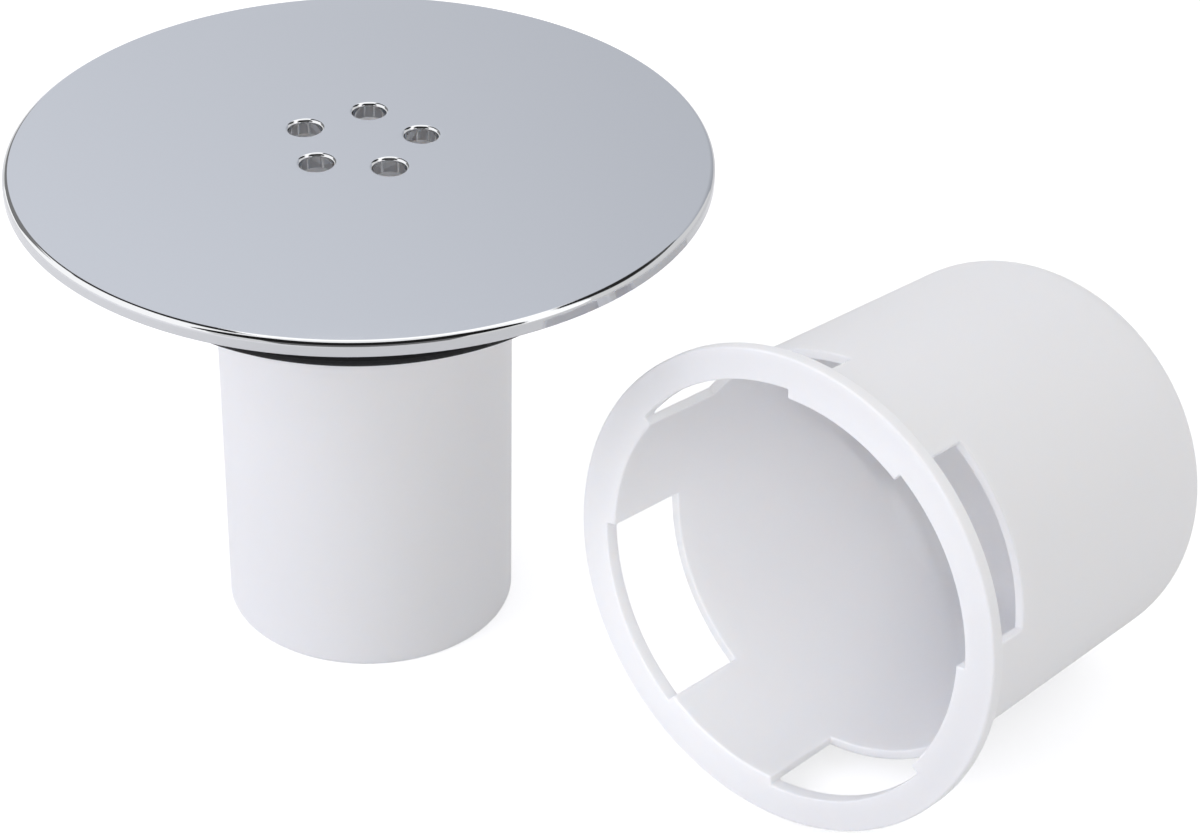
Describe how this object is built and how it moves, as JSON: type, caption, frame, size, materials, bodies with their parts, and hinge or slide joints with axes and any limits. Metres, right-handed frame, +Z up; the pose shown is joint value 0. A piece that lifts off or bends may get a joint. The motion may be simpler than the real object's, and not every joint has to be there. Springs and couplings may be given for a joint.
{
  "type": "shower drain",
  "caption": "Domed round shower drain cover with drain holes on a dip tube with a rubber seal ring, its flanged, windowed trap cup lying beside it.",
  "frame": {"origin": "centre of the dip tube's open foot, on the tube's axis and on the surface that both halves stand on", "axes": "+Z up along the dip tube to the cover plate, +X to the side where the trap cup lies, +Y away from the side that the cup's mouth faces"},
  "size_m": [0.1931, 0.1477, 0.088],
  "materials": {
    "chrome_plate": "polished chrome plate on a moulded plate",
    "white_moulding": "satin moulded polypropylene",
    "seal_rubber": "black nitrile rubber"
  },
  "bodies": {
    "root": {"cover_plate": "chrome_plate", "dip_tube": "white_moulding", "seal_ring": "seal_rubber", "trap_cup": "white_moulding"}
  },
  "joints": []
}
